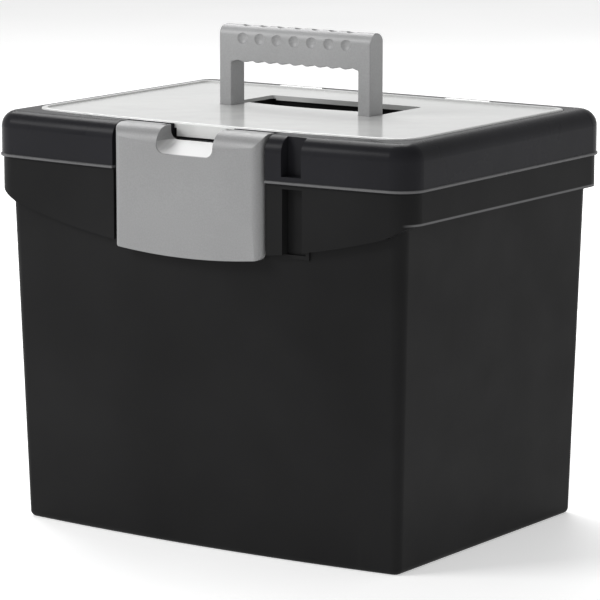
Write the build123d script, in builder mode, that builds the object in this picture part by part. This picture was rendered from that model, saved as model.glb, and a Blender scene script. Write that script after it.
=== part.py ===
"""Portable document box for letter-size hanging folders.

A drafted tub with a stepped collar, an organiser lid hinged at the back, a cover over the
organiser that carries a fold-down handle, and a latch plate that hangs from the lid and
hooks under a bead on the tub.

Millimetres, +Z up. X runs across the front, the front faces -Y, and the origin is on the
floor at the middle of the box.
"""
from build123d import *
from math import radians, tan
import os

# ---------------------------------------------------------------- driving dimensions
# Lid skirt, the widest part of the box.
LID_HALF_WIDTH = 170.0
LID_HALF_DEPTH = 124.5
FRONT_BOW = 8.0
LID_CORNER = 18.0
LID_EDGE = 11.0
LID_BEAD = 0.8
LID_BEAD_HEIGHT = 2.0
LID_BEAD_ROUND = 0.7
LID_BOTTOM = 252.35
LID_TOP = 283.4
LID_WALL = 2.6

# Tub: a drafted box with a wider collar round its mouth.
BASE_HALF_WIDTH = 152.75
BASE_HALF_DEPTH = 111.1
BASE_CORNER = 6.0
MOUTH_CORNER = 9.5
BASE_EDGE = 4.0
DRAFT = 1.68
TUB_TOP = 252.0
TUB_WALL = 2.6
FLOOR = 3.0
INNER_CORNER_LOSS = 1.0
COLLAR_INSET = 2.0
COLLAR_CORNER = 16.0
COLLAR_FLOOR = 190.0
LEDGE = 230.6
SMILE_MIDDLE = 201.4
SMILE_END = 222.4
SMILE_HALF_SPAN = 150.0
RAMP_END = 165.0
RAMP_BOW = 0.1
RAMP_FRONT = -121.0
RAMP_BACK = -106.0
LIP_THICKNESS = 1.5
LIP_HEIGHT = 3.2
LIP_END_GAP = 1.0

# Latch bay and the groove to its right.
BAY_HALF = 61.8
BAY_BLOCK = 3.0
BAY_BLOCK_BACK = -123.4
BAY_BACK = -126.0
BAY_SHOULDER = 270.5
BAY_SHELF = 274.4
BAY_SHELF_FRONT = -121.5
BAY_SHELF_BACK = -112.0
GROOVE_NEAR = 74.1
GROOVE_FAR = 89.2
GROOVE_FLOOR = -121.9
GROOVE_BOTTOM = 206.2
GROOVE_PAD = 2.6
GROOVE_PAD_SINK = 2.0
RIM_FLANGE = 2.5
LID_FLANGE = 5.2

# Cover, the panel that closes the organiser.
COVER_HALF_WIDTH = 152.8
COVER_FRONT = 101.9
COVER_BACK = 100.6
COVER_BOW = 9.0
COVER_FRONT_CORNER = 20.0
COVER_BACK_CORNER = 10.0
COVER_TOP = 284.4
COVER_EDGE = 4.0
COVER_PLATE = 2.4
RIM_WIDTH = 4.0
RIM_HEIGHT = 1.2
COVER_GAP = 0.5
TAB_HALF = 22.5
TAB_DEPTH = 7.4
TAB_DROP = 2.0
TAB_THICKNESS = 2.5
TAB_STANDOFF = 0.7
COVER_ROUND = 1.5
COVER_SKIRT = 3.0
PANEL = COVER_TOP - RIM_HEIGHT
PLATE_UNDER = PANEL - COVER_PLATE

# Organiser well in the lid.
WELL_FLOOR = 260.6
WELL_PLATE = 2.2
WELL_LEDGE = 4.0
RIB_X = 84.0
RIB_TOP = 276.0
RIB_HALF = 1.0
RIB_FRONT = -104.0
UPPER_WALL = 277.0
REBATE_GAP = 0.4

# Solid parts of the lid behind the latch and under the cover's hinge.
PIN_BLOCK_HALF = 72.0
PIN_BLOCK_BACK = -107.5
PIN_BLOCK_BOTTOM = 271.8
TAB_BLOCK_HALF = 28.0
TAB_BLOCK_BOTTOM = 262.0
TAB_WALL_BACK = -104.5
TAB_WELL_BACK = -108.9
TAB_WELL_FLOOR = 274.0
SCOOP_SPACE_BACK = -116.0
SCOOP_SPACE_FLOOR = 264.0
COVER_SEAT_HALF = 26.0
COVER_SEAT_FRONT = 98.5
COVER_SEAT_BACK = 110.5
COVER_SEAT_BOTTOM = 274.0

# Handle.
HANDLE_HALF = 62.1
HANDLE_LEG = 10.0
HANDLE_FRONT = -7.7
HANDLE_BACK = 8.3
HANDLE_TOP = 338.7
GRIP_UNDER = 313.6
PIVOT_Y = -4.0
PIVOT_Z = PANEL - 4.0
EYE = 3.7
HANDLE_CORNER = 1.2
WINDOW_CORNER = 1.2
WINDOW_EDGE = 1.0
LEG_EDGE = 0.8
WAVES = 10
WAVE_PITCH = 10.3
WAVE_RADIUS = 8.0
WAVE_DEPTH = 1.3
DIMPLES = 7
DIMPLE_PITCH = 14.2
DIMPLE_BALL = 6.0
DIMPLE_OUT = 4.2
DIMPLE_DROP = 8.5

# Grip pocket: a cup under the cover that takes the folded handle.
POCKET_HALF = 62.6
POCKET_BACK = 57.0
POCKET_LIP = 1.0
POCKET_CORNER = 3.0
POCKET_FRONT = 13.0
POCKET_FRONT_MID = 8.5
LEG_SLOT_FRONT = -8.1
LEG_SLOT_INNER = 51.7
CUP_HALF = 63.2
CUP_FRONT = -8.6
CUP_BACK = 58.5
CUP_FLOOR = 264.5
CUP_WALL = 2.0
EAR_X = 70.5
EAR_YS = (-2.0, 50.0)
EAR_TOP = 274.7
EAR_THICKNESS = 2.2
EAR_REACH = 4.5
EAR_BORE = 1.6
BOSS_RADIUS = 3.5
BOSS_BORE = 1.3
CUP_CORNER = 3.0
CUP_EDGE = 1.5
CUP_LUG_NEAR = 46.5
CUP_LUG_FAR = 51.5
CUP_LUG_BACK = 6.0
CUP_LUG_FOOT = 270.0

# Screws that hold the cup.
SCREW_HEAD_RADIUS = 2.8
SCREW_HEAD = 1.8
SLOT_LENGTH = 3.0
SLOT_WIDTH = 0.7
SHANK_RADIUS = 1.27
SHANK_LENGTH = 7.0

# Latch.
LATCH_HALF = 59.6
LATCH_AXIS_Y = -116.6
LATCH_AXIS_Z = 279.3
LATCH_KNUCKLE = 4.2
KNUCKLE_INSET = 0.6
LATCH_BOW = 1.0
LATCH_FOOT_CORNER = 5.0
LATCH_FACE = -134.6
LATCH_FOOT = -133.2
LATCH_PLATE = 3.2
LATCH_ROUND = 13.0
LATCH_RETURN = -126.6
RETURN_TOP = 270.0
SHELF_FRONT = -121.8
SHELF_UNDER = 274.9
LATCH_BOTTOM = 198.0
LATCH_BOTTOM_END = 201.7
LATCH_SIDE_ROUND = 7.0
SCOOP_HALF = 22.8
SCOOP_LOW = 265.5
SCOOP_HIGH = 273.3
SCOOP_BACK = -117.5
SCOOP_RUN = 30.0
SCOOP_ROUND = 6.0
SCOOP_WALL = 1.4
SCOOP_FLOOR = 2.4
LUG_NEAR = 24.6
LUG_FAR = 27.2
LUG_INSET = 0.2
LUG_REACH = 3.0
LUG_BACK = -111.0
LUG_FOOT = 273.0
LUG_GAP = 0.4
LUG_SPACE = 4.3
LUG_SPACE_FLOOR = 272.0
CATCH_Z = 207.0
CATCH_HALF = 45.0
CATCH_ROOT = 2.0
CATCH_REACH = 3.2
CATCH_LIP = 1.5
CATCH_RISE = 3.5
HOOK_RISE = 3.2
HOOK_LIP = 2.2
HOOK_THICKNESS = 3.4
HOOK_TIP = 1.9
HOOK_BEVEL = 2.6
HOOK_ROOT = 1.5
HOOK_INSET = 2.0

# Pins and their bores.
PIN = 3.0
HINGE_PIN = 4.0
FIXED = 0.02
RUNNING = 0.12
BORE_END = 0.2
PIN_CHAMFER = 0.3
LATCH_PIN_END = 68.0

# Lid hinge.
HINGE_Y = 129.2
HINGE_Z = 252.2
HINGE_KNUCKLE = 4.0
HINGE_X = 95.0
HINGE_HALF = 20.0
HINGE_MIDDLE = 10.0
HINGE_GAP = 0.3
GUSSET_FOOT = 236.0
GUSSET_REACH = 3.6
GUSSET_DROP = 2.0
WEB_TOP = 264.0
WEB_RISE = 1.8

# Cover hinge.
COVER_HINGE_Y = 104.4
COVER_HINGE_Z = 281.6
COVER_KNUCKLE = 2.8
COVER_HINGE_X = 70.0
COVER_HINGE_HALF = 18.0
COVER_PIN_HALF = 24.0
COVER_POCKET_SIDE = 0.8
COVER_POCKET_BACK = 108.2
COVER_POCKET_FLOOR = 277.5
TONGUE_ROOT = 2.0
TONGUE_DROP = 0.6

# File rails.
RAIL_INNER = 154.6
RAIL_THICKNESS = 2.2
RAIL_OUTER = 165.0
RAIL_TOP = 243.0
RAIL_HALF_LENGTH = 98.0
RAIL_PEG = 4.0
PEG_INSET = 4.0
PEG_STANDING = 1.0
PEG_CLEARANCE = 0.2
RAIL_EDGE = 0.8
RAIL_PEG_YS = (-80.0, 0.0, 80.0)

COLLAR_HALF_WIDTH = LID_HALF_WIDTH - COLLAR_INSET
COLLAR_HALF_DEPTH = LID_HALF_DEPTH - COLLAR_INSET
LEDGE_TOP = LEDGE + TUB_WALL
SIDES = (-1, 1)
FAR = 200.0
FRONT_ZONE = -100.0
REBATE = COVER_TOP - COVER_EDGE - REBATE_GAP
TAB_FRONT = -COVER_FRONT - COVER_BOW - TAB_STANDOFF
CATCH_FACE = -(BASE_HALF_DEPTH + FRONT_BOW + CATCH_Z * tan(radians(DRAFT)))


# ---------------------------------------------------------------- shared shapes
def plan_outline(half_width, front, back, bow, radius, back_radius=None):
    """Plan of a box with straight sides and back and a front that bows out in the middle."""
    with BuildSketch() as plan:
        with BuildLine():
            ThreePointArc((-half_width, -front), (0, -front - bow), (half_width, -front))
            Polyline((half_width, -front), (half_width, back), (-half_width, back), (-half_width, -front))
        make_face()
        fillet(plan.vertices().group_by(Axis.Y)[-1], back_radius or radius)
        fillet(plan.vertices().filter_by(lambda v: abs(abs(v.X) - half_width) < 0.01 and v.Y < 0), radius)
    return plan.sketch


def plan_prism(outline, bottom, top):
    """Upright prism on a plan outline."""
    with BuildPart() as prism:
        with BuildSketch(Plane.XY.offset(bottom)):
            add(plan_outline(*outline))
        extrude(amount=top - bottom)
    return prism.part


def drafted_body(inset, corner_change, bottom, top):
    """Body of the tub between two levels, moved inwards, with its corners opening out upwards."""
    with BuildPart() as body:
        for level, corner in ((bottom, BASE_CORNER), (top, MOUTH_CORNER)):
            growth = level * tan(radians(DRAFT)) - inset
            with BuildSketch(Plane.XY.offset(level)):
                add(plan_outline(BASE_HALF_WIDTH + growth, BASE_HALF_DEPTH + growth, BASE_HALF_DEPTH + growth,
                                 FRONT_BOW, corner + corner_change))
        loft(ruled=True)
    return body.part


def collar_outline(inset):
    """Outline of the collar, moved inwards."""
    half_depth = COLLAR_HALF_DEPTH - inset
    return (COLLAR_HALF_WIDTH - inset, half_depth, half_depth, FRONT_BOW, COLLAR_CORNER - inset)


def lid_outline(inset):
    """Outline of the lid skirt, moved inwards."""
    half_depth = LID_HALF_DEPTH - inset
    return (LID_HALF_WIDTH - inset, half_depth, half_depth, FRONT_BOW, LID_CORNER - inset)


def cover_outline(growth):
    """Outline of the cover, moved outwards."""
    return (COVER_HALF_WIDTH + growth, COVER_FRONT + growth, COVER_BACK + growth,
            COVER_BOW, COVER_FRONT_CORNER + growth, COVER_BACK_CORNER + growth)


def block(x, y, z):
    """Box between limits, each given as a low and high value."""
    centre = [(low + high) / 2 for low, high in (x, y, z)]
    with BuildPart() as solid:
        with Locations(tuple(centre)):
            Box(x[1] - x[0], y[1] - y[0], z[1] - z[0])
    return solid.part


def span(side, near, far):
    """Limits from near to far on one side of the middle plane."""
    return (near, far) if side > 0 else (-far, -near)


def rod(y, z, x, diameter):
    """Round bar along X between two X limits."""
    with BuildPart() as bar:
        with BuildSketch(Plane.YZ.offset(x[0])):
            with Locations((y, z)):
                Circle(diameter / 2)
        extrude(amount=x[1] - x[0])
    return bar.part


def profile_along_x(points, x):
    """Prism along X on a straight-sided profile given as (y, z) points."""
    with BuildPart() as prism:
        with BuildSketch(Plane.YZ.offset(x[0])):
            with BuildLine():
                Polyline(*points, close=True)
            make_face()
        extrude(amount=x[1] - x[0])
    return prism.part


def save(part, name):
    """Label a finished piece and write its STEP file."""
    part.label = name
    export_step(part, f"parts/{name}.step")


os.makedirs("parts", exist_ok=True)


# ---------------------------------------------------------------- tub
def collar_mass(inset, floor_rise, top):
    """Collar prism, level underneath at the sides and back, with a curved front that ramps up at its ends."""
    underside = LEDGE + floor_rise
    with BuildPart() as mass:
        with BuildSketch(Plane.XY.offset(COLLAR_FLOOR)):
            add(plan_outline(*collar_outline(inset)))
        extrude(amount=top - COLLAR_FLOOR)
        add(block((-FAR, FAR), (RAMP_BACK, FAR), (COLLAR_FLOOR, underside)), mode=Mode.SUBTRACT)
        with BuildSketch(Plane.XZ.offset(-FAR)):
            with BuildLine():
                ThreePointArc((-SMILE_HALF_SPAN, SMILE_END + floor_rise), (0, SMILE_MIDDLE + floor_rise),
                              (SMILE_HALF_SPAN, SMILE_END + floor_rise))
                middle_x = (SMILE_HALF_SPAN + RAMP_END) / 2
                middle_z = (SMILE_END + LEDGE) / 2 + floor_rise - RAMP_BOW
                ThreePointArc((SMILE_HALF_SPAN, SMILE_END + floor_rise), (middle_x, middle_z),
                              (RAMP_END, underside))
                Polyline((RAMP_END, underside), (FAR, underside), (FAR, COLLAR_FLOOR - 1),
                         (-FAR, COLLAR_FLOOR - 1), (-FAR, underside), (-RAMP_END, underside))
                ThreePointArc((-RAMP_END, underside), (-middle_x, middle_z),
                              (-SMILE_HALF_SPAN, SMILE_END + floor_rise))
            make_face()
        extrude(amount=2 * FAR, mode=Mode.SUBTRACT)
        # The ramp fades out along the sides of the corners.
        for side in SIDES:
            add(profile_along_x([(RAMP_FRONT, SMILE_END + floor_rise), (RAMP_BACK, underside),
                                 (0, underside), (0, COLLAR_FLOOR - 1), (RAMP_FRONT, COLLAR_FLOOR - 1)],
                                span(side, SMILE_HALF_SPAN, FAR)), mode=Mode.SUBTRACT)
    return mass.part


with BuildPart() as tub:
    add(drafted_body(0, 0, 0, TUB_TOP))
    fillet(edges().group_by(Axis.Z)[0], BASE_EDGE)
    bay = block((-BAY_HALF, BAY_HALF), (-FAR, FRONT_ZONE), (COLLAR_FLOOR, TUB_TOP))
    add(collar_mass(0, 0, TUB_TOP) - bay)

    # Hollow: the drafted inside, then the wider inside of the collar.
    add(drafted_body(TUB_WALL, -INNER_CORNER_LOSS, FLOOR, TUB_TOP + 1), mode=Mode.SUBTRACT)
    solid_front = GROOVE_FAR + GROOVE_PAD
    kept = block((-BAY_HALF - TUB_WALL, solid_front), (-FAR, FRONT_ZONE), (COLLAR_FLOOR, TUB_TOP + 1))
    add(collar_mass(TUB_WALL, TUB_WALL, TUB_TOP + 1) - kept, mode=Mode.SUBTRACT)

    # Rim lip that centres the lid, left off behind the latch.
    lip = plan_prism(collar_outline(TUB_WALL - LIP_THICKNESS), TUB_TOP, TUB_TOP + LIP_HEIGHT)
    lip -= plan_prism(collar_outline(TUB_WALL), TUB_TOP, TUB_TOP + LIP_HEIGHT)
    lip -= block((-BAY_HALF - BAY_BLOCK - LIP_END_GAP, solid_front), (-FAR, 0),
                 (TUB_TOP, TUB_TOP + LIP_HEIGHT))
    add(lip)

    # Groove to the right of the latch, with the wall behind it set back.
    pad_x = (GROOVE_NEAR - GROOVE_PAD, GROOVE_FAR + GROOVE_PAD)
    pad_y = (GROOVE_FLOOR - GROOVE_PAD_SINK, GROOVE_FLOOR + GROOVE_PAD)
    add(block(pad_x, pad_y, (GROOVE_BOTTOM - GROOVE_PAD, TUB_TOP)))
    add(block((GROOVE_NEAR, GROOVE_FAR), (-FAR, GROOVE_FLOOR), (GROOVE_BOTTOM, TUB_TOP - RIM_FLANGE)),
        mode=Mode.SUBTRACT)

    for side in SIDES:
        # Pegs that hold the file rail on the ledge.
        for peg_y in RAIL_PEG_YS:
            with BuildSketch(Plane.XY.offset(LEDGE_TOP)):
                with Locations((side * (RAIL_OUTER - PEG_INSET), peg_y)):
                    Circle(RAIL_PEG / 2)
            extrude(amount=RAIL_THICKNESS + PEG_STANDING)

        # Two hinge knuckles with gussets, either side of the lid's knuckle.
        for near, far in ((-HINGE_HALF, -HINGE_MIDDLE - HINGE_GAP), (HINGE_MIDDLE + HINGE_GAP, HINGE_HALF)):
            x = (side * HINGE_X + near, side * HINGE_X + far)
            add(rod(HINGE_Y, HINGE_Z, x, 2 * HINGE_KNUCKLE))
            add(profile_along_x([(COLLAR_HALF_DEPTH - 1, GUSSET_FOOT), (COLLAR_HALF_DEPTH - 1, TUB_TOP),
                                 (HINGE_Y, TUB_TOP), (HINGE_Y + GUSSET_REACH, HINGE_Z - GUSSET_DROP)], x))
        add(rod(HINGE_Y, HINGE_Z, (side * HINGE_X - HINGE_HALF, side * HINGE_X + HINGE_HALF),
                HINGE_PIN + FIXED), mode=Mode.SUBTRACT)

    # Catch bead under which the latch hooks.
    add(profile_along_x([(CATCH_FACE + CATCH_ROOT, CATCH_Z - CATCH_LIP),
                         (CATCH_FACE - CATCH_REACH, CATCH_Z - CATCH_LIP), (CATCH_FACE - CATCH_REACH, CATCH_Z),
                         (CATCH_FACE + CATCH_ROOT, CATCH_Z + CATCH_RISE)],
                        (-CATCH_HALF, CATCH_HALF)))
save(tub.part, "tub")


# ---------------------------------------------------------------- file rails
for side, name in ((-1, "file_rail_left"), (1, "file_rail_right")):
    with BuildPart() as rail:
        length = (-RAIL_HALF_LENGTH, RAIL_HALF_LENGTH)
        add(block(span(side, RAIL_INNER, RAIL_OUTER), length, (LEDGE_TOP, LEDGE_TOP + RAIL_THICKNESS)))
        add(block(span(side, RAIL_INNER, RAIL_INNER + RAIL_THICKNESS), length, (LEDGE_TOP, RAIL_TOP)))
        top_edges = edges().filter_by(Axis.Y).group_by(Axis.Z)[-1]
        fillet(top_edges, RAIL_EDGE)
        hole_top = LEDGE_TOP + RAIL_THICKNESS
        with Locations(*[(side * (RAIL_OUTER - PEG_INSET), y, hole_top) for y in RAIL_PEG_YS]):
            Hole(radius=(RAIL_PEG + PEG_CLEARANCE) / 2, depth=RAIL_THICKNESS)
    save(rail.part, name)


# ---------------------------------------------------------------- lid frame
with BuildPart() as lid_frame:
    add(plan_prism(lid_outline(LID_BEAD), LID_BOTTOM, LID_TOP))
    fillet(edges().group_by(Axis.Z)[-1], LID_EDGE)

    # Bead round the bottom of the skirt.
    with BuildPart() as bead:
        add(plan_prism(lid_outline(0), LID_BOTTOM, LID_BOTTOM + LID_BEAD_HEIGHT))
        fillet(edges().group_by(Axis.Z)[0], LID_BEAD_ROUND)
        fillet(edges().group_by(Axis.Z)[-1], LID_BEAD_ROUND)
    add(bead.part)

    # Hollow underside between the skirt and the organiser well.
    with BuildPart() as hollow:
        add(plan_prism(lid_outline(LID_WALL), LID_BOTTOM - 1, LID_TOP - LID_WALL))
        fillet(edges().group_by(Axis.Z)[-1], LID_EDGE - LID_WALL)
        well_bottom = WELL_FLOOR - WELL_PLATE
        add(plan_prism(cover_outline(-WELL_LEDGE + LID_WALL), well_bottom, LID_TOP), mode=Mode.SUBTRACT)
        add(plan_prism(cover_outline(COVER_GAP + WELL_PLATE), UPPER_WALL, LID_TOP), mode=Mode.SUBTRACT)
        # Solid behind the latch, round its pins and behind the grooves.
        add(block((-BAY_HALF - BAY_BLOCK, BAY_HALF + BAY_BLOCK), (-FAR, BAY_BLOCK_BACK),
                  (LID_BOTTOM - 1, LID_TOP)), mode=Mode.SUBTRACT)
        add(block((-PIN_BLOCK_HALF, PIN_BLOCK_HALF), (-FAR, PIN_BLOCK_BACK), (PIN_BLOCK_BOTTOM, LID_TOP)),
            mode=Mode.SUBTRACT)
        add(block((-TAB_BLOCK_HALF, TAB_BLOCK_HALF), (-FAR, PIN_BLOCK_BACK), (TAB_BLOCK_BOTTOM, LID_TOP)),
            mode=Mode.SUBTRACT)
        add(block((BAY_HALF + BAY_BLOCK - 1, GROOVE_FAR + GROOVE_PAD), (-FAR, GROOVE_FLOOR + GROOVE_PAD),
                  (LID_BOTTOM - 1, LID_TOP)), mode=Mode.SUBTRACT)
        for side in SIDES:
            # Seats for the cover's hinge pins.
            seat_x = (side * COVER_HINGE_X - COVER_SEAT_HALF, side * COVER_HINGE_X + COVER_SEAT_HALF)
            add(block(seat_x, (COVER_SEAT_FRONT, COVER_SEAT_BACK), (COVER_SEAT_BOTTOM, LID_TOP)),
                mode=Mode.SUBTRACT)
    add(hollow.part, mode=Mode.SUBTRACT)

    # Organiser well, the rebate the cover lies in, and two ribs that part the well.
    add(plan_prism(cover_outline(-WELL_LEDGE), WELL_FLOOR, LID_TOP + 1), mode=Mode.SUBTRACT)
    add(plan_prism(cover_outline(COVER_GAP), REBATE, LID_TOP + 1), mode=Mode.SUBTRACT)
    for side in SIDES:
        add(block((side * RIB_X - RIB_HALF, side * RIB_X + RIB_HALF),
                  (RIB_FRONT, COVER_BACK - WELL_LEDGE + 1),
                  (WELL_FLOOR - 1, RIB_TOP)))

    # Latch bay.
    add(profile_along_x([(-FAR, LID_BOTTOM - 1), (BAY_BACK, LID_BOTTOM - 1), (BAY_BACK, BAY_SHOULDER),
                         (BAY_SHELF_FRONT, BAY_SHELF), (BAY_SHELF_BACK, BAY_SHELF), (BAY_SHELF_BACK, FAR * 2),
                         (-FAR, FAR * 2)], (-BAY_HALF, BAY_HALF)), mode=Mode.SUBTRACT)
    # Wall behind the cover's tab, and the well in front of it for a finger.
    add(block((-TAB_BLOCK_HALF, TAB_BLOCK_HALF), (BAY_SHELF_BACK, TAB_WALL_BACK), (WELL_FLOOR - 1, REBATE)))
    add(block((-LUG_NEAR, LUG_NEAR), (BAY_BACK - 1, TAB_WELL_BACK), (TAB_WELL_FLOOR, FAR * 2)),
        mode=Mode.SUBTRACT)
    add(block((-LUG_NEAR, LUG_NEAR), (BAY_BACK - 1, SCOOP_SPACE_BACK), (SCOOP_SPACE_FLOOR, BAY_SHELF + 1)),
        mode=Mode.SUBTRACT)

    # Groove to the right of the latch, open at the top and front.
    add(block((GROOVE_NEAR, GROOVE_FAR), (-FAR, GROOVE_FLOOR), (LID_BOTTOM + LID_FLANGE, LID_TOP + 1)),
        mode=Mode.SUBTRACT)

    for side in SIDES:
        # Inner lug for the latch pin, then the pin's bore.
        lug_x = span(side, LUG_NEAR, LUG_FAR)
        add(rod(LATCH_AXIS_Y, LATCH_AXIS_Z, lug_x, 2 * (LATCH_KNUCKLE - LUG_INSET)))
        add(block(lug_x, (LATCH_AXIS_Y - LUG_REACH, LUG_BACK), (LUG_FOOT, LATCH_AXIS_Z)))
        add(rod(LATCH_AXIS_Y, LATCH_AXIS_Z, span(side, LUG_NEAR - 1, LATCH_PIN_END + BORE_END), PIN + FIXED),
            mode=Mode.SUBTRACT)

        # Pocket and pin bores of the cover hinge.
        middle = side * COVER_HINGE_X
        pocket_half = COVER_HINGE_HALF + COVER_POCKET_SIDE
        add(block((middle - pocket_half, middle + pocket_half), (COVER_BACK - COVER_GAP, COVER_POCKET_BACK),
                  (COVER_POCKET_FLOOR, LID_TOP + 1)), mode=Mode.SUBTRACT)
        bore_half = COVER_PIN_HALF + BORE_END
        add(rod(COVER_HINGE_Y, COVER_HINGE_Z, (middle - bore_half, middle + bore_half), PIN + FIXED),
            mode=Mode.SUBTRACT)

        # Knuckle of the lid hinge.
        middle = side * HINGE_X
        x = (middle - HINGE_MIDDLE, middle + HINGE_MIDDLE)
        add(rod(HINGE_Y, HINGE_Z, x, 2 * HINGE_KNUCKLE))
        add(profile_along_x([(LID_HALF_DEPTH - 1, LID_BOTTOM), (LID_HALF_DEPTH - 1, WEB_TOP),
                             (HINGE_Y + GUSSET_REACH, HINGE_Z + WEB_RISE), (HINGE_Y, LID_BOTTOM)], x))
        add(rod(HINGE_Y, HINGE_Z, (x[0] - 1, x[1] + 1), HINGE_PIN + RUNNING), mode=Mode.SUBTRACT)
save(lid_frame.part, "lid_frame")


# ---------------------------------------------------------------- cover
with BuildPart() as top_cover:
    add(plan_prism(cover_outline(0), COVER_TOP - COVER_EDGE, COVER_TOP))
    fillet(edges().group_by(Axis.Z)[-1], COVER_ROUND)
    add(plan_prism(cover_outline(-RIM_WIDTH), PANEL, COVER_TOP + 1), mode=Mode.SUBTRACT)
    add(plan_prism(cover_outline(-COVER_SKIRT), COVER_TOP - COVER_EDGE - 1, PLATE_UNDER),
        mode=Mode.SUBTRACT)

    # Tab at the front, reached through the notch in the latch.
    tab_top = COVER_TOP - TAB_DROP
    add(block((-TAB_HALF, TAB_HALF), (TAB_FRONT, TAB_FRONT + TAB_THICKNESS), (tab_top - TAB_DEPTH, tab_top)))

    # Opening over the grip pocket, with a slot running forward for each leg.
    with BuildSketch(Plane.XY.offset(PLATE_UNDER - 1)):
        with BuildLine():
            ThreePointArc((-LEG_SLOT_INNER, POCKET_FRONT), (0, POCKET_FRONT_MID),
                          (LEG_SLOT_INNER, POCKET_FRONT))
            Polyline((LEG_SLOT_INNER, POCKET_FRONT), (LEG_SLOT_INNER, LEG_SLOT_FRONT),
                     (POCKET_HALF, LEG_SLOT_FRONT), (POCKET_HALF, POCKET_BACK), (-POCKET_HALF, POCKET_BACK),
                     (-POCKET_HALF, LEG_SLOT_FRONT), (-LEG_SLOT_INNER, LEG_SLOT_FRONT),
                     (-LEG_SLOT_INNER, POCKET_FRONT))
        make_face()
        fillet(vertices().group_by(Axis.Y)[-1], POCKET_CORNER)
    extrude(amount=COVER_TOP, mode=Mode.SUBTRACT)

    # Lip turned down along the back of the opening.
    add(block((-POCKET_HALF + POCKET_CORNER, POCKET_HALF - POCKET_CORNER),
              (POCKET_BACK, POCKET_BACK + POCKET_LIP),
              (PLATE_UNDER - POCKET_LIP, PLATE_UNDER)))

    # Screw bosses for the cup.
    for side in SIDES:
        for ear_y in EAR_YS:
            with BuildSketch(Plane.XY.offset(EAR_TOP)):
                with Locations((side * EAR_X, ear_y)):
                    Circle(BOSS_RADIUS)
                    Circle(BOSS_BORE, mode=Mode.SUBTRACT)
            extrude(amount=PLATE_UNDER - EAR_TOP)

        # Hinge knuckle on a short tongue.
        middle = side * COVER_HINGE_X
        x = (middle - COVER_HINGE_HALF, middle + COVER_HINGE_HALF)
        add(block(x, (COVER_BACK - TONGUE_ROOT, COVER_HINGE_Y),
                  (COVER_TOP - COVER_EDGE, COVER_TOP - TONGUE_DROP)))
        add(rod(COVER_HINGE_Y, COVER_HINGE_Z, x, 2 * COVER_KNUCKLE))
        add(rod(COVER_HINGE_Y, COVER_HINGE_Z, (x[0] - 1, x[1] + 1), PIN + RUNNING), mode=Mode.SUBTRACT)
save(top_cover.part, "top_cover")


# ---------------------------------------------------------------- handle cup and screws
with BuildPart() as handle_cup:
    add(block((-CUP_HALF - CUP_WALL, CUP_HALF + CUP_WALL), (CUP_FRONT - CUP_WALL, CUP_BACK + CUP_WALL),
              (CUP_FLOOR - CUP_WALL, PLATE_UNDER)))
    fillet(edges().filter_by(Axis.Z), CUP_CORNER)
    fillet(edges().group_by(Axis.Z)[0], CUP_EDGE)
    add(block((-CUP_HALF, CUP_HALF), (CUP_FRONT, CUP_BACK), (CUP_FLOOR, PLATE_UNDER + 1)),
        mode=Mode.SUBTRACT)
    for side in SIDES:
        # Lug on the inner side of each leg, and the pin bore through lug and wall.
        add(block(span(side, CUP_LUG_NEAR, CUP_LUG_FAR), (CUP_FRONT - 1, CUP_LUG_BACK),
                  (CUP_LUG_FOOT, PLATE_UNDER)))
        add(rod(PIVOT_Y, PIVOT_Z, span(side, CUP_LUG_NEAR - 1, CUP_HALF + CUP_WALL + 1), PIN + FIXED),
            mode=Mode.SUBTRACT)
        for ear_y in EAR_YS:
            add(block(span(side, CUP_HALF + 1, EAR_X + EAR_REACH), (ear_y - EAR_REACH, ear_y + EAR_REACH),
                      (EAR_TOP - EAR_THICKNESS, EAR_TOP)))
            with Locations((side * EAR_X, ear_y, EAR_TOP)):
                Hole(radius=EAR_BORE, depth=EAR_THICKNESS)
save(handle_cup.part, "handle_cup")

with BuildPart() as cup_screws:
    for side in SIDES:
        for ear_y in EAR_YS:
            under = EAR_TOP - EAR_THICKNESS
            with BuildSketch(Plane.XY.offset(under - SCREW_HEAD)):
                with Locations((side * EAR_X, ear_y)):
                    Circle(SCREW_HEAD_RADIUS)
                    Rectangle(SLOT_LENGTH, SLOT_WIDTH, mode=Mode.SUBTRACT)
                    Rectangle(SLOT_WIDTH, SLOT_LENGTH, mode=Mode.SUBTRACT)
            extrude(amount=SCREW_HEAD / 2)
            with BuildSketch(Plane.XY.offset(under - SCREW_HEAD / 2)):
                with Locations((side * EAR_X, ear_y)):
                    Circle(SCREW_HEAD_RADIUS)
            extrude(amount=SCREW_HEAD / 2)
            with BuildSketch(Plane.XY.offset(under)):
                with Locations((side * EAR_X, ear_y)):
                    Circle(SHANK_RADIUS)
            extrude(amount=SHANK_LENGTH)
save(cup_screws.part, "cup_screws")


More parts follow.
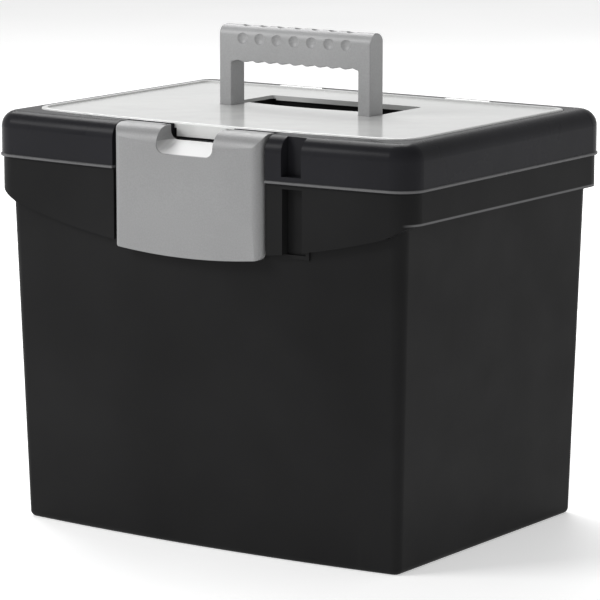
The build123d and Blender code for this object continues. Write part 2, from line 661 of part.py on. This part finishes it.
# ---------------------------------------------------------------- handle
with BuildPart() as handle:
    with BuildSketch(Plane.XZ.offset(-FAR / 2)):
        foot = PIVOT_Z - EYE
        with BuildLine():
            Polyline((-HANDLE_HALF, foot), (-HANDLE_HALF, HANDLE_TOP), (HANDLE_HALF, HANDLE_TOP),
                     (HANDLE_HALF, foot), (HANDLE_HALF - HANDLE_LEG, foot),
                     (HANDLE_HALF - HANDLE_LEG, GRIP_UNDER), (-HANDLE_HALF + HANDLE_LEG, GRIP_UNDER),
                     (-HANDLE_HALF + HANDLE_LEG, foot), close=True)
        make_face()
        fillet(vertices().group_by(Axis.Y)[-1], HANDLE_CORNER)
        fillet(vertices().group_by(Axis.Y)[1], WINDOW_CORNER)
    extrude(amount=FAR)
    with BuildSketch(Plane.YZ.offset(-FAR / 2)):
        half = (HANDLE_BACK - HANDLE_FRONT) / 2
        middle = (HANDLE_BACK + HANDLE_FRONT) / 2
        with BuildLine():
            Line((HANDLE_FRONT, PIVOT_Z), (HANDLE_FRONT, HANDLE_TOP - half))
            ThreePointArc((HANDLE_FRONT, HANDLE_TOP - half), (middle, HANDLE_TOP),
                          (HANDLE_BACK, HANDLE_TOP - half))
            Polyline((HANDLE_BACK, HANDLE_TOP - half), (HANDLE_BACK, PIVOT_Z), (PIVOT_Y + EYE, PIVOT_Z))
            ThreePointArc((PIVOT_Y + EYE, PIVOT_Z), (PIVOT_Y, PIVOT_Z - EYE), (HANDLE_FRONT, PIVOT_Z))
        make_face()
    extrude(amount=FAR, mode=Mode.INTERSECT)
    window = edges().filter_by(lambda e: abs(e.center().X) < HANDLE_HALF - HANDLE_LEG + 0.1)
    window = window.filter_by(lambda e: abs(abs(e.center().Y - middle) - half) < 0.01)
    window = window.filter_by(lambda e: PIVOT_Z < e.center().Z < GRIP_UNDER + 0.1)
    fillet(window, WINDOW_EDGE)
    with BuildSketch(Plane.XY.offset(PIVOT_Z - EYE)):
        with Locations((0, middle)):
            RectangleRounded(2 * HANDLE_HALF, HANDLE_BACK - HANDLE_FRONT, LEG_EDGE)
    extrude(amount=FAR, mode=Mode.INTERSECT)
    for row_y, row_z in ((HANDLE_FRONT - DIMPLE_OUT, HANDLE_TOP - DIMPLE_DROP),
                         (HANDLE_BACK + DIMPLE_OUT, HANDLE_TOP - DIMPLE_DROP),
                         (middle, HANDLE_TOP + DIMPLE_OUT)):
        with Locations((0, row_y, row_z)):
            with GridLocations(DIMPLE_PITCH, 1, DIMPLES, 1):
                Sphere(DIMPLE_BALL, mode=Mode.SUBTRACT)
    # Finger waves along the underside of the grip.
    with BuildSketch(Plane.XZ.offset(-FAR / 2)):
        with Locations((0, GRIP_UNDER + WAVE_DEPTH - WAVE_RADIUS)):
            with GridLocations(WAVE_PITCH, 1, WAVES, 1):
                Circle(WAVE_RADIUS)
        with Locations((0, GRIP_UNDER)):
            Rectangle(2 * (HANDLE_HALF - HANDLE_LEG - WINDOW_EDGE), FAR, mode=Mode.INTERSECT)
    extrude(amount=FAR, mode=Mode.SUBTRACT)
    add(rod(PIVOT_Y, PIVOT_Z, (-HANDLE_HALF - 1, HANDLE_HALF + 1), PIN + RUNNING), mode=Mode.SUBTRACT)
save(handle.part, "handle")


# ---------------------------------------------------------------- latch
def latch_envelope(inset, x_half, underside):
    """Latch block between the outer surface, moved inwards, and an underside given as (y, z) points."""
    face = LATCH_FACE + inset
    foot = LATCH_FOOT + inset
    top = LATCH_AXIS_Z + LATCH_KNUCKLE - inset
    radius = LATCH_ROUND - inset
    with BuildPart() as envelope:
        with BuildSketch(Plane.YZ.offset(-x_half)):
            with BuildLine():
                Line((LATCH_AXIS_Y, top), (face + radius, top))
                RadiusArc((face + radius, top), (face, top - radius), -radius)
                Polyline((face, top - radius), (foot, LATCH_BOTTOM - 5), *underside, (LATCH_AXIS_Y, top))
            make_face()
        extrude(amount=2 * x_half)
    return envelope.part


RETURNS = ((LATCH_RETURN, LATCH_BOTTOM - 5), (LATCH_RETURN, RETURN_TOP), (SHELF_FRONT, SHELF_UNDER),
           (LATCH_AXIS_Y, SHELF_UNDER))
RECESS_BACK = ((SCOOP_BACK, LATCH_BOTTOM - 5), (SCOOP_BACK, SHELF_UNDER), (LATCH_AXIS_Y, SHELF_UNDER))


def recess_prism(half_width, drop, corner):
    """Prism with a round-cornered U outline that runs back and up along the scoop's floor."""
    with BuildPart() as prism:
        with BuildSketch(Plane.XZ.offset(-LATCH_FACE + 1)):
            with Locations((0, SCOOP_LOW + drop + FAR / 2)):
                RectangleRounded(2 * half_width, FAR, corner)
        extrude(amount=SCOOP_RUN, dir=(0, SCOOP_BACK - LATCH_FACE, SCOOP_HIGH - SCOOP_LOW))
    return prism.part


with BuildPart() as latch:
    add(latch_envelope(0, LATCH_HALF, RETURNS))
    # Rounded side edges and a gently curved lower edge.
    with BuildSketch(Plane.XZ.offset(-FAR)):
        with BuildLine():
            ThreePointArc((-LATCH_HALF, LATCH_BOTTOM_END), (0, LATCH_BOTTOM), (LATCH_HALF, LATCH_BOTTOM_END))
            Polyline((LATCH_HALF, LATCH_BOTTOM_END), (LATCH_HALF, FAR * 2), (-LATCH_HALF, FAR * 2),
                     (-LATCH_HALF, LATCH_BOTTOM_END))
        make_face()
        fillet(vertices().group_by(Axis.Y)[0], LATCH_FOOT_CORNER)
    extrude(amount=2 * FAR, mode=Mode.INTERSECT)
    with BuildSketch(Plane.XY):
        with BuildLine():
            side_front = LATCH_FACE + LATCH_BOW
            ThreePointArc((-LATCH_HALF, side_front), (0, LATCH_FACE), (LATCH_HALF, side_front))
            Polyline((LATCH_HALF, side_front), (LATCH_HALF, FRONT_ZONE), (-LATCH_HALF, FRONT_ZONE),
                     (-LATCH_HALF, side_front))
        make_face()
        fillet(vertices().group_by(Axis.Y)[0], LATCH_SIDE_ROUND)
    extrude(amount=FAR * 2, mode=Mode.INTERSECT)
    add(latch_envelope(LATCH_PLATE, LATCH_HALF - LATCH_PLATE, RETURNS), mode=Mode.SUBTRACT)

    # Notch over the cover's tab: a dished recess with its own floor and side walls.
    dish = recess_prism(SCOOP_HALF + SCOOP_WALL, -SCOOP_FLOOR, SCOOP_ROUND + SCOOP_WALL)
    add(dish & latch_envelope(0, LATCH_HALF, RECESS_BACK))
    add(recess_prism(SCOOP_HALF, 0, SCOOP_ROUND), mode=Mode.SUBTRACT)
    add(block((-LUG_FAR - LUG_GAP, LUG_FAR + LUG_GAP), (SCOOP_BACK, FRONT_ZONE), (LUG_SPACE_FLOOR, FAR * 2)),
        mode=Mode.SUBTRACT)
    for side in SIDES:
        add(block(span(side, SCOOP_HALF + SCOOP_WALL, LUG_FAR + LUG_GAP),
                  (SCOOP_BACK - LUG_SPACE, FRONT_ZONE),
                  (LUG_SPACE_FLOOR, FAR * 2)), mode=Mode.SUBTRACT)
    for side in SIDES:
        # Knuckle round the pin.
        knuckle_x = span(side, LUG_FAR + LUG_GAP, LATCH_HALF - KNUCKLE_INSET)
        add(rod(LATCH_AXIS_Y, LATCH_AXIS_Z, knuckle_x, 2 * LATCH_KNUCKLE))
        add(rod(LATCH_AXIS_Y, LATCH_AXIS_Z, span(side, LUG_FAR, LATCH_HALF + 1), PIN + RUNNING),
            mode=Mode.SUBTRACT)
    # Hook along the lower edge.
    hook_under = LATCH_BOTTOM + HOOK_RISE
    hook_top = hook_under + HOOK_THICKNESS
    add(profile_along_x([(LATCH_FACE + HOOK_ROOT, hook_under), (CATCH_FACE - HOOK_TIP, hook_under),
                         (CATCH_FACE - HOOK_TIP, hook_under + HOOK_LIP), (CATCH_FACE - HOOK_BEVEL, hook_top),
                         (LATCH_FACE + HOOK_ROOT, hook_top)],
                        (-CATCH_HALF + HOOK_INSET, CATCH_HALF - HOOK_INSET)))
save(latch.part, "latch")


# ---------------------------------------------------------------- pins
def pin(name, y, z, x, diameter):
    """Steel pin along X with slightly rounded ends."""
    with BuildPart() as bar:
        add(rod(y, z, x, diameter))
        fillet(bar.edges().filter_by(GeomType.CIRCLE), PIN_CHAMFER)
    save(bar.part, name)


for side, where in ((-1, "left"), (1, "right")):
    pin(f"handle_pin_{where}", PIVOT_Y, PIVOT_Z,
        span(side, CUP_LUG_NEAR + BORE_END, CUP_HALF + CUP_WALL - BORE_END), PIN)
    pin(f"latch_pin_{where}", LATCH_AXIS_Y, LATCH_AXIS_Z, span(side, LUG_NEAR + BORE_END, LATCH_PIN_END), PIN)
    centre = side * HINGE_X
    pin(f"lid_hinge_pin_{where}", HINGE_Y, HINGE_Z, (centre - HINGE_HALF, centre + HINGE_HALF), HINGE_PIN)
    centre = side * COVER_HINGE_X
    pin(f"cover_hinge_pin_{where}", COVER_HINGE_Y, COVER_HINGE_Z,
        (centre - COVER_PIN_HALF, centre + COVER_PIN_HALF), PIN)
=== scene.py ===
"""Looks for the portable document box: materials, soft studio and the camera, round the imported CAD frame.

Metres, +Z up, the front faces -Y.
"""
from math import cos, radians, sin

import bpy
from mathutils import Matrix, Vector

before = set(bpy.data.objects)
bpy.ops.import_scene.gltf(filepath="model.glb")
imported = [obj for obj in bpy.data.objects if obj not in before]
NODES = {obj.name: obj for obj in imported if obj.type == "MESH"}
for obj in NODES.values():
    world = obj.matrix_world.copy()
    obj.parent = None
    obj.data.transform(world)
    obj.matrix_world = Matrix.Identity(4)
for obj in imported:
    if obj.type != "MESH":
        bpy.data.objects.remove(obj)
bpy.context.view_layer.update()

# ---------------------------------------------------------------- camera and studio
# Angles of the fitted view. Distances in metres, lens and sensor in millimetres.
AZIMUTH = radians(34.42)
ELEVATION = radians(9.93)
DISTANCE = 2.554
AIM_RIGHT = -0.0001
AIM_UP = 0.1487
LENS = 220.2
SENSOR_WIDTH = 36
CLIP_END = 60

# Each light's place, aim point, size and power.
KEY_LIGHT = ((-1.9, -2.1, 2.0), (0, 0, 0.15), (1.5, 1.2), 50)
BACK_LIGHT = ((-1.15, 1.1, 2.1), (0, 0, 0.2), (1.7, 1.7), 44)

# Surround, as (upward part of the direction, strength), even beyond both ends.
WORLD_HORIZON = (0.08, 0.78)
WORLD_ZENITH = (0.65, 0.36)

FLOOR_HALF = 14.0
FLOOR_GLOW = 0.46

# ---------------------------------------------------------------- colours, finish, wear and painted highlights
# Darkest and lightest colour of each material.
TUB_GREYS = ((0.0105, 0.0105, 0.0107), (0.0150, 0.0150, 0.0153))
LID_GREYS = ((0.0130, 0.0130, 0.0150), (0.0180, 0.0180, 0.0208))
LATCH_GREYS = ((0.235, 0.236, 0.238), (0.262, 0.263, 0.265))
HANDLE_GREYS = ((0.31, 0.311, 0.314), (0.345, 0.346, 0.349))
PANEL_WHITES = ((0.63, 0.635, 0.63), (0.68, 0.685, 0.675))
STEEL_GREYS = ((0.50, 0.50, 0.51), (0.66, 0.66, 0.67))

# Colour between the panel's hairline scratches, and in them.
PANEL_HAIRLINES = ((0.68, 0.68, 0.67), (0.42, 0.42, 0.41))

# Roughness before it varies, and specular level, of the black plastics.
TUB_FINISH = (0.42, 0.05)
LID_FINISH = (0.27, 0.07)

# Index of refraction of the black and grey plastics, and of the panel.
PLASTIC_IOR = 1.49
PANEL_IOR = 1.5

# How many times lighter a scuff is than the plastic's lightest colour.
BLACK_SCUFF_GAIN = 2.2
GREY_SCUFF_GAIN = 1.18

# Depths of slow waves and of fine grain, in metres.
BLACK_DEPTHS = (0.00022, 0.000011)
PANEL_DEPTHS = (0.00035, 0.000006)
GREY_DEPTHS = (0.00015, 0.000008)
RAIL_LINE_DEPTH = 0.00003
STEEL_LINE_DEPTH = 0.00002
FLOOR_GRAIN_DEPTH = 0.00002

# Painted highlight lines along the lid's bead and the collar's ledge: lower height, upper height, and how
# far off the middle plane they start.
BEAD_HIGHLIGHT_BAND = (0.2529, 0.2542, 0.0)
LEDGE_HIGHLIGHT_BAND = (0.2311, 0.2321, 0.1672)
EDGE_FADE = 0.0004
SIDE_FADE = 0.006
# Pale grey painted along those edges as a highlight.
EDGE_HIGHLIGHT_GREY = (0.125, 0.125, 0.127)

# Painted highlight on the floor of the latch's notch: half its width, its heights, and how far forward it
# reaches.
RECESS_HALF = 0.0214
RECESS_FADE = 0.002
RECESS_FLOOR = 0.2656
RECESS_TOP = 0.2738
RECESS_FRONT = -0.1337
# Pale grey painted on the notch floor as a highlight.
NOTCH_HIGHLIGHT_GREY = (0.56, 0.56, 0.56)

scene = bpy.context.scene
scene.view_settings.view_transform = "Standard"


def place_camera():
    """Long-lens camera at the photograph's angle."""
    back = Vector((sin(AZIMUTH) * cos(ELEVATION), -cos(AZIMUTH) * cos(ELEVATION), sin(ELEVATION)))
    right = Vector((cos(AZIMUTH), sin(AZIMUTH), 0))
    up = back.cross(right)
    data = bpy.data.cameras.new("camera")
    data.lens = LENS
    data.sensor_width = SENSOR_WIDTH
    data.clip_end = CLIP_END
    camera = bpy.data.objects.new("camera", data)
    turn = Matrix((right, up, back)).transposed().to_4x4()
    camera.matrix_world = Matrix.Translation(back * DISTANCE + right * AIM_RIGHT + up * AIM_UP) @ turn
    scene.collection.objects.link(camera)
    scene.camera = camera


def softbox(name, place, aim, size, power):
    """Rectangular area light at a place, turned towards an aim point."""
    data = bpy.data.lights.new(name, "AREA")
    data.shape = "RECTANGLE"
    data.size, data.size_y = size
    data.energy = power
    light = bpy.data.objects.new(name, data)
    light.location = place
    light.rotation_euler = (Vector(aim) - Vector(place)).to_track_quat("-Z", "Y").to_euler()
    scene.collection.objects.link(light)


place_camera()
softbox("key_light", *KEY_LIGHT)
softbox("back_light", *BACK_LIGHT)


def studio_world():
    """Even surround, brighter near the horizon than overhead."""
    world = bpy.data.worlds.new("studio")
    world.use_nodes = True
    nodes, links = world.node_tree.nodes, world.node_tree.links
    place = nodes.new("ShaderNodeTexCoord")
    split = nodes.new("ShaderNodeSeparateXYZ")
    links.new(place.outputs["Generated"], split.inputs["Vector"])
    fade = nodes.new("ShaderNodeMapRange")
    links.new(split.outputs["Z"], fade.inputs["Value"])
    fade.inputs["From Min"].default_value = WORLD_HORIZON[0]
    fade.inputs["From Max"].default_value = WORLD_ZENITH[0]
    fade.inputs["To Min"].default_value = WORLD_HORIZON[1]
    fade.inputs["To Max"].default_value = WORLD_ZENITH[1]
    links.new(fade.outputs["Result"], nodes["Background"].inputs["Strength"])
    nodes["Background"].inputs["Color"].default_value = (1, 1, 1, 1)
    scene.world = world


studio_world()


# ---------------------------------------------------------------- materials
class Surface:
    """Node material with a few helpers for building its procedural parts."""

    def __init__(self, name):
        self.material = bpy.data.materials.new(name)
        self.material.use_nodes = True
        self.tree = self.material.node_tree
        self.shader = self.tree.nodes["Principled BSDF"]
        self.place = self.node("ShaderNodeTexCoord").outputs["Object"]

    def node(self, kind, **settings):
        made = self.tree.nodes.new(kind)
        for key, value in settings.items():
            if hasattr(made, key):
                setattr(made, key, value)
            else:
                made.inputs[key.replace("_", " ")].default_value = value
        return made

    def join(self, source, target):
        self.tree.links.new(source, target)

    def fixed(self, **values):
        for key, value in values.items():
            self.shader.inputs[key.replace("_", " ")].default_value = value

    def noise(self, scale, detail=2.0, stretch=(1, 1, 1), rough=0.5):
        """Noise in object space, with about as many cells to the metre as scale says."""
        mapping = self.node("ShaderNodeMapping")
        mapping.inputs["Scale"].default_value = stretch
        self.join(self.place, mapping.inputs["Vector"])
        made = self.node("ShaderNodeTexNoise", Scale=scale, Detail=detail, Roughness=rough)
        self.join(mapping.outputs["Vector"], made.inputs["Vector"])
        return made.outputs["Fac"]

    def along(self, letter, mirrored=False):
        """Object-space coordinate in metres, or its size when both sides count alike."""
        split = self.node("ShaderNodeSeparateXYZ")
        self.join(self.place, split.inputs["Vector"])
        if not mirrored:
            return split.outputs[letter]
        size = self.node("ShaderNodeMath", operation="ABSOLUTE")
        self.join(split.outputs[letter], size.inputs[0])
        return size.outputs["Value"]

    def zone(self, *steps):
        """Factor of 1 where every (value, start, end) is past its end, falling to 0 before any start."""
        product = None
        for value, start, end in steps:
            fade = self.node("ShaderNodeMapRange")
            self.join(value, fade.inputs["Value"])
            fade.inputs["From Min"].default_value = start
            fade.inputs["From Max"].default_value = end
            factor = fade.outputs["Result"]
            if product is not None:
                times = self.node("ShaderNodeMath", operation="MULTIPLY")
                self.join(product, times.inputs[0])
                self.join(factor, times.inputs[1])
                factor = times.outputs["Value"]
            product = factor
        return product

    def ramp(self, source, stops):
        """Colour ramp with (position, grey or colour) stops."""
        made = self.node("ShaderNodeValToRGB")
        ramp = made.color_ramp
        while len(ramp.elements) < len(stops):
            ramp.elements.new(0.5)
        for element, (position, value) in zip(ramp.elements, stops):
            element.position = position
            element.color = (*value, 1) if isinstance(value, tuple) else (value, value, value, 1)
        self.join(source, made.inputs["Fac"])
        return made.outputs["Color"]

    def mix(self, factor, first, second, blend="MIX"):
        """Mix of two colours, each an output or a fixed colour."""
        made = self.node("ShaderNodeMix", data_type="RGBA", blend_type=blend)
        slots = [s for s in made.inputs if s.type == "RGBA"]
        for slot, value in zip(slots, (first, second)):
            if isinstance(value, tuple):
                slot.default_value = (*value, 1)
            else:
                self.join(value, slot)
        if isinstance(factor, float):
            made.inputs["Factor"].default_value = factor
        else:
            self.join(factor, made.inputs["Factor"])
        return [s for s in made.outputs if s.type == "RGBA"][0]

    def bump(self, layers):
        """Stacked bumps, each (height output, depth in metres)."""
        below = None
        for height, depth in layers:
            made = self.node("ShaderNodeBump", Strength=1.0, Distance=depth)
            self.join(height, made.inputs["Height"])
            if below is not None:
                self.join(below, made.inputs["Normal"])
            below = made.outputs["Normal"]
        self.join(below, self.shader.inputs["Normal"])

    def finish(self, color, roughness):
        self.join(color, self.shader.inputs["Base Color"])
        self.join(roughness, self.shader.inputs["Roughness"])
        return self.material


def black_plastic(name, low, high, rough, specular, highlight_band):
    """Moulded black polypropylene: fine grain, clouding, hairline scuffs, and a painted highlight line
    along an edge.

    The painted highlight lies between two heights, and starts at a distance off the middle plane.
    """
    s = Surface(name)
    bottom, top, off_middle = highlight_band
    clouds = s.noise(9, 3)
    color = s.ramp(clouds, [(0.3, low), (0.7, high)])
    scuffs = s.ramp(s.noise(60, 6, (1, 1, 0.07), 0.65), [(0.64, 0.0), (0.72, 1.0)])
    patches = s.ramp(s.noise(5, 2), [(0.5, 0.0), (0.66, 0.35)])
    worn = s.mix(patches, (0.0, 0.0, 0.0), scuffs)
    color = s.mix(worn, color, tuple(BLACK_SCUFF_GAIN * c for c in high))
    height = s.along("Z")
    side = s.along("X", mirrored=True)
    # Mask of the painted highlight line between the two heights.
    wear_and_highlight = s.zone((height, bottom - EDGE_FADE, bottom), (height, top + EDGE_FADE, top),
                    (side, off_middle - SIDE_FADE, off_middle))
    # Painted highlight: pale grey line along the bead or the ledge.
    color = s.mix(wear_and_highlight, color, EDGE_HIGHLIGHT_GREY)
    roughness = s.ramp(s.noise(22, 4), [(0.25, rough - 0.05), (0.75, rough + 0.07)])
    waves, grain = BLACK_DEPTHS
    s.bump([(s.noise(34, 2), waves), (s.noise(1500, 2, rough=0.6), grain)])
    s.fixed(IOR=PLASTIC_IOR, Specular_IOR_Level=specular)
    return s.finish(color, roughness)


def white_plastic():
    """Glossy white panel with slight waviness and hairline scratches."""
    s = Surface("white_plastic")
    low, high = PANEL_WHITES
    color = s.ramp(s.noise(12, 3), [(0.3, low), (0.7, high)])
    hair = s.ramp(s.noise(40, 8, (1, 0.03, 1), 0.7), [(0.66, 0.0), (0.70, 1.0)])
    color = s.mix(0.12, color, s.mix(hair, *PANEL_HAIRLINES))
    roughness = s.ramp(s.noise(30, 5), [(0.3, 0.12), (0.75, 0.22)])
    waves, grain = PANEL_DEPTHS
    s.bump([(s.noise(26, 1), waves), (s.noise(900, 2), grain)])
    s.fixed(IOR=PANEL_IOR, Coat_Weight=0.25, Coat_Roughness=0.06)
    return s.finish(color, roughness)


def grey_plastic(name, low, high):
    """Satin grey plastic with fine grain, and a painted highlight where the latch's notch has its floor.

    The handle wears it too, but no part of the handle lies in that place.
    """
    s = Surface(name)
    color = s.ramp(s.noise(14, 3), [(0.3, low), (0.7, high)])
    specks = s.ramp(s.noise(1100, 2), [(0.35, 0.95), (0.65, 1.04)])
    color = s.mix(1.0, color, specks, "MULTIPLY")
    wear_and_highlight = s.ramp(s.noise(55, 6, (0.2, 1, 1), 0.65), [(0.63, 0.0), (0.72, 0.5)])
    color = s.mix(wear_and_highlight, color, tuple(GREY_SCUFF_GAIN * c for c in high))
    height = s.along("Z")
    # Mask of the painted highlight on the notch floor.
    notch_highlight = s.zone((height, RECESS_FLOOR - EDGE_FADE, RECESS_FLOOR),
                    (height, RECESS_TOP + EDGE_FADE, RECESS_TOP),
                    (s.along("Y"), RECESS_FRONT - EDGE_FADE, RECESS_FRONT),
                    (s.along("X", mirrored=True), RECESS_HALF + RECESS_FADE, RECESS_HALF))
    # Painted highlight: the notch floor made paler than the rest of the grey.
    color = s.mix(notch_highlight, color, NOTCH_HIGHLIGHT_GREY)
    roughness = s.ramp(s.noise(24, 4), [(0.25, 0.34), (0.75, 0.46)])
    waves, grain = GREY_DEPTHS
    s.bump([(s.noise(40, 2), waves), (s.noise(1300, 2, rough=0.6), grain)])
    s.fixed(IOR=PLASTIC_IOR)
    return s.finish(color, roughness)


def rail_plastic():
    """Dark grey extruded rail with drawing lines along its length."""
    s = Surface("rail_plastic")
    color = s.ramp(s.noise(300, 4, (1, 0.01, 1)), [(0.3, 0.03), (0.7, 0.055)])
    roughness = s.ramp(s.noise(200, 3, (1, 0.02, 1)), [(0.3, 0.32), (0.7, 0.48)])
    s.bump([(s.noise(900, 3, (1, 0.01, 1)), RAIL_LINE_DEPTH)])
    return s.finish(color, roughness)


def steel():
    """Drawn steel pin or screw with fine lines along X."""
    s = Surface("steel")
    low, high = STEEL_GREYS
    color = s.ramp(s.noise(400, 4, (0.05, 1, 1)), [(0.3, low), (0.7, high)])
    roughness = s.ramp(s.noise(700, 4, (0.05, 1, 1)), [(0.3, 0.22), (0.7, 0.42)])
    s.bump([(s.noise(1800, 2, (0.04, 1, 1)), STEEL_LINE_DEPTH)])
    s.fixed(Metallic=1.0)
    return s.finish(color, roughness)


def floor_paper():
    """Matt pale floor with a barely visible mottle, which gives off some light of its own."""
    s = Surface("floor_paper")
    color = s.ramp(s.noise(3, 4), [(0.3, 0.90), (0.7, 0.93)])
    roughness = s.ramp(s.noise(6, 3), [(0.3, 0.7), (0.7, 0.85)])
    s.bump([(s.noise(700, 2), FLOOR_GRAIN_DEPTH)])
    s.fixed(Specular_IOR_Level=0.2, Emission_Strength=FLOOR_GLOW)
    s.join(color, s.shader.inputs["Emission Color"])
    return s.finish(color, roughness)


FINISH = {
    "tub": black_plastic("tub_plastic", *TUB_GREYS, *TUB_FINISH, LEDGE_HIGHLIGHT_BAND),
    "lid": black_plastic("lid_plastic", *LID_GREYS, *LID_FINISH, BEAD_HIGHLIGHT_BAND),
    "white": white_plastic(),
    "latch": grey_plastic("latch_plastic", *LATCH_GREYS),
    "handle": grey_plastic("handle_plastic", *HANDLE_GREYS),
    "rail": rail_plastic(),
    "steel": steel(),
}
WEARS = {
    "tub": "tub",
    "lid_frame": "lid",
    "handle_cup": "tub",
    "top_cover": "white",
    "handle": "handle",
    "latch": "latch",
    "file_rail_left": "rail",
    "file_rail_right": "rail",
}
for name, node in NODES.items():
    node.data.materials.clear()
    node.data.materials.append(FINISH[WEARS.get(name, "steel")])


# ---------------------------------------------------------------- floor
def build_floor():
    """Plain floor under the box."""
    half = FLOOR_HALF
    mesh = bpy.data.meshes.new("floor")
    corners = [(-half, -half, 0), (half, -half, 0), (half, half, 0), (-half, half, 0)]
    mesh.from_pydata(corners, [], [(0, 1, 2, 3)])
    floor = bpy.data.objects.new("floor", mesh)
    scene.collection.objects.link(floor)
    mesh.materials.append(floor_paper())


build_floor()
